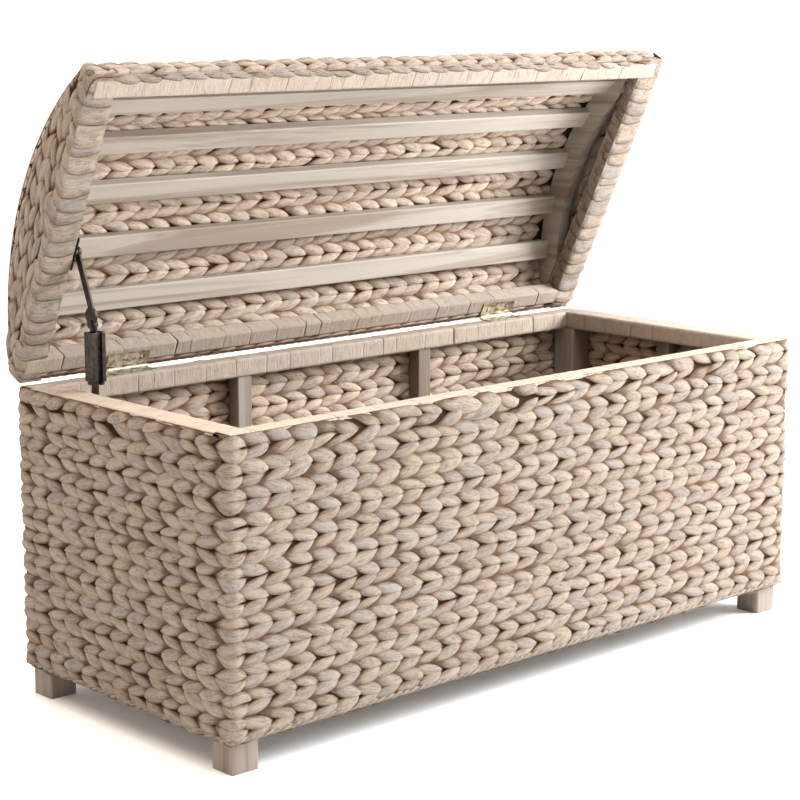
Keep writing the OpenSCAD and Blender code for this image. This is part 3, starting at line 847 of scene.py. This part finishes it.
front_rail, back_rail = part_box("top_rail_front"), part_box("top_rail_back")
left_rail, right_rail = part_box("top_rail_left"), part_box("top_rail_right")
LIP, LIP_DEPTH = 5 * MM, 6 * MM
SIDE_WRAP_IN = 20 * MM  # how far the side rails' wraps start in from the front and the back
long_span = (wrap_low.x, wrap_high.x)
side_span = (-wrap_high.y + SIDE_WRAP_IN, -wrap_low.y - SIDE_WRAP_IN)
chest_wraps = {
    "rim_wrap_front": (front_rail[1].y + WRAP, wrap_low.y, along_x, long_span),
    "rim_wrap_back": (back_rail[0].y - WRAP, wrap_high.y, along_x, long_span),
    "rim_wrap_left": (left_rail[1].x + WRAP, wrap_low.x, along_y, side_span),
    "rim_wrap_right": (right_rail[0].x - WRAP, wrap_high.x, along_y, side_span),
}
for name, (inner, outer, place, span) in chest_wraps.items():
    section = rail_outline(inner, outer, wrap_low.z, wrap_high.z, LIP, LIP_DEPTH)
    piece = wrap_bands(name, "chest", section, *span, place)
    if name == "rim_wrap_front":
        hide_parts("rim_wrap")
lid_front_rail, lid_back_rail = lid_box("lid_rail_front"), lid_box("lid_rail_back")
lid_wrap_low, lid_wrap_high = lid_box("lid_rim_wrap")
lid_span = (lid_wrap_low[0] + 4 * MM, lid_wrap_high[0] - 4 * MM)
front_section = rail_outline(lid_front_rail[1][1] + WRAP, lid_wrap_low[1], lid_wrap_low[2],
                             lid_wrap_high[2], 0, LIP_DEPTH)
back_section = rail_outline(lid_back_rail[0][1] - WRAP, lid_wrap_high[1], lid_wrap_low[2],
                            lid_wrap_high[2], 0, LIP_DEPTH)
piece = wrap_bands("lid_rim_wrap_front", "lid", front_section, *lid_span, on_lid_x)
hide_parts("lid_rim_wrap")
wrap_bands("lid_rim_wrap_back", "lid", back_section, *lid_span, on_lid_x)


# Thin strands twisted together along the chest's lower edge and the lid's edge at the hinges

STRAND_TURN = 26 * MM
TURN_RINGS = 10
STRAND_SIDES = 8


def twisted_strands(name, body, length, place, thick, spread, closed):
    """Two strands twisted round each other; place maps (along, out, up) to a place."""
    turns = int(length / STRAND_TURN)
    count = turns * TURN_RINGS
    at = np.linspace(0, length, count, endpoint=not closed)[:, None]
    around = (np.arange(STRAND_SIDES) * 2 * math.pi / STRAND_SIDES)[None, :]
    points, pattern = [], []
    for k in range(2):
        phase = turns * 2 * math.pi * at / length + k * math.pi
        out = spread * np.cos(phase) + thick * np.cos(around)
        up = 0.8 * spread * np.sin(phase) + 0.9 * thick * np.sin(around)
        u = np.broadcast_to(at, out.shape)
        strand = place(u, out, up).reshape(-1, 3)
        grain = np.stack([around * 0.2 + 0 * u, u / GRAIN, 0 * u + 3 + k], -1).reshape(-1, 3)
        if not closed:
            ends = [strand[:STRAND_SIDES].mean(0), strand[-STRAND_SIDES:].mean(0)]
            strand, grain = np.vstack([strand, ends]), np.vstack([grain, grain[[0, -1]]])
        points.append(strand)
        pattern.append(grain)
    if closed:
        quads, triangles = belt_faces(count, STRAND_SIDES, 2), NO_FACES
    else:
        quads, triangles = tube_faces(count, STRAND_SIDES, 2)
    attributes = {"strand": np.vstack(pattern)}
    piece = mesh_object(name, np.vstack(points), quads, triangles, attributes, leaf_outer)
    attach(piece, body)


def lower_edge(u, out, up):
    return chest_skin(u, skirt + 2.4 * MM + up, out - 2.6 * MM)


def hinge_edge(u, out, up):
    return lid_to_row(np.stack([lid_span[0] + u, lid_y1 - 2 * MM + out, band_z0 + 2 * MM + up], -1))


twisted_strands("lower_edge_strands", "chest", ring_length, lower_edge, 2.0 * MM, 1.7 * MM, True)
lid_edge = lid_span[1] - lid_span[0]
twisted_strands("lid_edge_strands", "lid", lid_edge, hinge_edge, 1.2 * MM, 0.7 * MM, False)


# Hinge screws with round cross-slotted heads

HEAD_R, HEAD_RISE, HEAD_FOOT = 3.0 * MM, 1.1 * MM, 0.4 * MM
SLOT_HALF, SLOT_REACH, SLOT_DEPTH = 0.34 * MM, 2.0 * MM, 0.7 * MM
HEAD_SUNK = 0.8 * MM  # how far in from its CAD node's end a head's own base lies


def screw_heads(name, body, centres, place):
    """Closed heads standing on centres (x, y, z); place carries points of the head's own axes."""
    rings, sides = 16, 40
    r = np.linspace(0.04, 1, rings)[:, None] * HEAD_R
    a = (np.arange(sides) * 2 * math.pi / sides)[None, :]
    points = []
    for x, y, z in centres:
        turn = rng.uniform(0, math.pi)
        across = np.minimum(np.abs(np.sin(a + turn)), np.abs(np.cos(a + turn))) * r
        slot = np.clip((SLOT_HALF - across) / (0.2 * MM) + 0.5, 0, 1) * (r < SLOT_REACH)
        height = HEAD_RISE * (1 - 0.8 * (r / HEAD_R) ** 2) - SLOT_DEPTH * slot
        top = np.stack([x + r * np.cos(a), y + r * np.sin(a), z + height], -1)
        rim_x, rim_y = x + HEAD_R * np.cos(a[0]), y + HEAD_R * np.sin(a[0])
        rim = np.stack([rim_x, rim_y, np.full(sides, z - HEAD_FOOT)], -1)
        poles = np.array([[x, y, z - HEAD_FOOT], [x, y, z + HEAD_RISE - SLOT_DEPTH]])
        points.append(np.vstack([rim, top[::-1].reshape(-1, 3), poles]))
    quads, triangles = tube_faces(rings + 1, sides, len(centres))
    piece = mesh_object(name, place(np.vstack(points)), quads, triangles, {}, brass)
    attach(piece, body)
    return piece


def screw_centres(name, box, head_z):
    """Where a node's screws stand, in the axes its box is given in, with their heads' height."""
    xs = np.sort(np.array([v.co.x for v in nodes[name].data.vertices]))
    groups = np.split(xs, np.where(np.diff(xs) > 5 * MM)[0] + 1)
    low, high = box
    return [((g[0] + g[-1]) / 2, (low[1] + high[1]) / 2, head_z) for g in groups]


body_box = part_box("hinge_body_screws")
body_centres = screw_centres("hinge_body_screws", body_box, body_box[1].z - HEAD_SUNK)
piece = screw_heads("hinge_body_screw_heads", "chest", body_centres, lambda p: p)
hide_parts("hinge_body_screws")
lid_screw_box = lid_box("hinge_lid_screws")
lid_centres = screw_centres("hinge_lid_screws", lid_screw_box, 0)


def below_lid(p):
    """Turns heads over so that they stand down from the lid's hinge leaves."""
    return lid_to_row(p * np.array([1, 1, -1]) + np.array([0, 0, lid_screw_box[0][2] + HEAD_SUNK]))


piece = screw_heads("hinge_lid_screw_heads", "lid", lid_centres, below_lid)
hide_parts("hinge_lid_screws")


# The stay's housing: a folded channel, open along its front and narrower at its foot

house_low, house_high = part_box("stay_housing")
width, depth = house_high.x - house_low.x, house_high.y - house_low.y
FOLD, NICK, GROOVE = 2.6 * MM, 0.6 * MM, 3.2 * MM  # bend radius, small bevel and groove depth
bend = [(math.sin(a), math.cos(a)) for a in np.linspace(0, math.pi / 2, 6)]
outline = [(NICK, 0), (0.31 * width, 0), (0.34 * width, GROOVE), (0.66 * width, GROOVE), (0.69 * width, 0)]
outline += [(width - FOLD + FOLD * s, FOLD - FOLD * c) for s, c in bend]
outline += [(width - FOLD + FOLD * c, depth - FOLD + FOLD * s) for s, c in bend]
outline += [(NICK, depth), (0, depth - NICK), (0, NICK)]
outline = np.array(outline)
middle = np.array([0.5 * width, 0.5 * depth])
# Heights, each with the outline's share there: the narrow foot, the channel, and down into its top
levels = [(house_low.z, 0.80), (house_low.z + 3.6 * MM, 0.80), (house_low.z + 4.6 * MM, 0.985),
          (house_low.z + 5.4 * MM, 1.0), (house_high.z - NICK, 1.0), (house_high.z, 0.97),
          (house_high.z, 0.86), (house_high.z - 9 * MM, 0.84)]
points = []
for z, share in levels:
    flat = np.array([house_low.x, house_low.y]) + (middle + (outline - middle) * share)
    points.append(np.column_stack([flat, np.full(len(flat), z)]))
ends = [[house_low.x + middle[0], house_low.y + middle[1], z] for z in (levels[0][0], levels[-1][0])]
quads, triangles = tube_faces(len(levels), len(outline), 1)
piece = mesh_object("stay_housing_folded", np.vstack(points + [np.array(ends)]), quads, triangles, {},
                    steel, smooth=False)
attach(piece, "stay_lower")
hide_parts("stay_housing")


# Materials of the CAD nodes that stay

for name, obj in nodes.items():
    if name.startswith("hinge"):
        finish = brass
    elif name == "stay_spring":
        finish = spring_steel
    elif name.startswith("stay"):
        finish = steel
    else:
        lengthwise = name.endswith(("_front", "_back", "floor_panel")) or "slat" in name
        upright = name.startswith(("post", "upright"))
        finish = wood[2 if upright else 0 if lengthwise else 1]
    obj.data.materials.clear()
    obj.data.materials.append(finish)


# Floor, light and camera

FLOOR_HALF = 12.0
floor_mesh = bpy.data.meshes.new("floor")
corners = [(x * FLOOR_HALF, y * FLOOR_HALF, 0) for x, y in ((-1, -1), (1, -1), (1, 1), (-1, 1))]
floor_mesh.from_pydata(corners, [], [(0, 1, 2, 3)])
floor = bpy.data.objects.new("floor", floor_mesh)
bpy.context.scene.collection.objects.link(floor)
floor_material, _, floor_shader = node_material("floor")
floor_shader.inputs["Base Color"].default_value = (0.965, 0.98, 1.0, 1)
floor_shader.inputs["Roughness"].default_value = 0.9
floor_shader.inputs["Emission Color"].default_value = (1, 1, 1, 1)
floor_shader.inputs["Emission Strength"].default_value = 0.05
floor_mesh.materials.append(floor_material)


def area_light(name, place, target, size, power, colour):
    lamp = bpy.data.lights.new(name, "AREA")
    lamp.energy, lamp.size, lamp.color = power, size, colour
    obj = bpy.data.objects.new(name, lamp)
    bpy.context.scene.collection.objects.link(obj)
    obj.location = place
    obj.rotation_euler = (Vector(target) - Vector(place)).to_track_quat("-Z", "Y").to_euler()


area_light("key", (1.6, -1.1, 1.15), target=(0, 0, 0.35), size=1.0, power=100, colour=(0.97, 0.99, 1.0))
area_light("top", (0.2, -0.5, 3.4), target=(0, 0, 0.3), size=3.0, power=138, colour=(1, 1, 1))
area_light("fill", (-1.6, 0.1, 2.4), target=(0.4, 0, 0.2), size=1.0, power=24, colour=(1, 0.80, 0.62))

# The studio is a little brighter and cooler towards +X, the back and the top
world = bpy.data.worlds.new("studio")
bpy.context.scene.world = world
world.use_nodes = True
sky = world.node_tree
towards = add(sky, "ShaderNodeSeparateXYZ", {0: add(sky, "ShaderNodeTexCoord").outputs["Generated"]})
strength = 0.74
for axis, slope in enumerate((0.42, 0.36, 0.45)):
    strength = math_node(sky, "ADD", math_node(sky, "MULTIPLY", towards.outputs[axis], slope), strength)
shade = math_node(sky, "MULTIPLY", math_node(sky, "ADD", towards.outputs[0], 1.0), 0.5)
sky.links.new(mix_colour(sky, shade, (1.0, 0.86, 0.73), (1.0, 1.0, 1.0)),
              sky.nodes["Background"].inputs["Color"])
sky.links.new(strength, sky.nodes["Background"].inputs["Strength"])
bpy.context.scene.view_settings.view_transform = "Standard"

azimuth, elevation = math.radians(-42.7), math.radians(10.7)
distance = 2.82
target = Vector((0, 0.0382, 0.3304))
back = Vector((math.sin(azimuth) * math.cos(elevation), -math.cos(azimuth) * math.cos(elevation),
               math.sin(elevation)))
camera = bpy.data.objects.new("camera", bpy.data.cameras.new("camera"))
bpy.context.scene.collection.objects.link(camera)
camera.data.sensor_width, camera.data.lens = 36, 95.4
camera.location = target + back * distance
camera.rotation_euler = (-back).to_track_quat("-Z", "Y").to_euler()
camera.data.clip_end = 60
bpy.context.scene.camera = camera
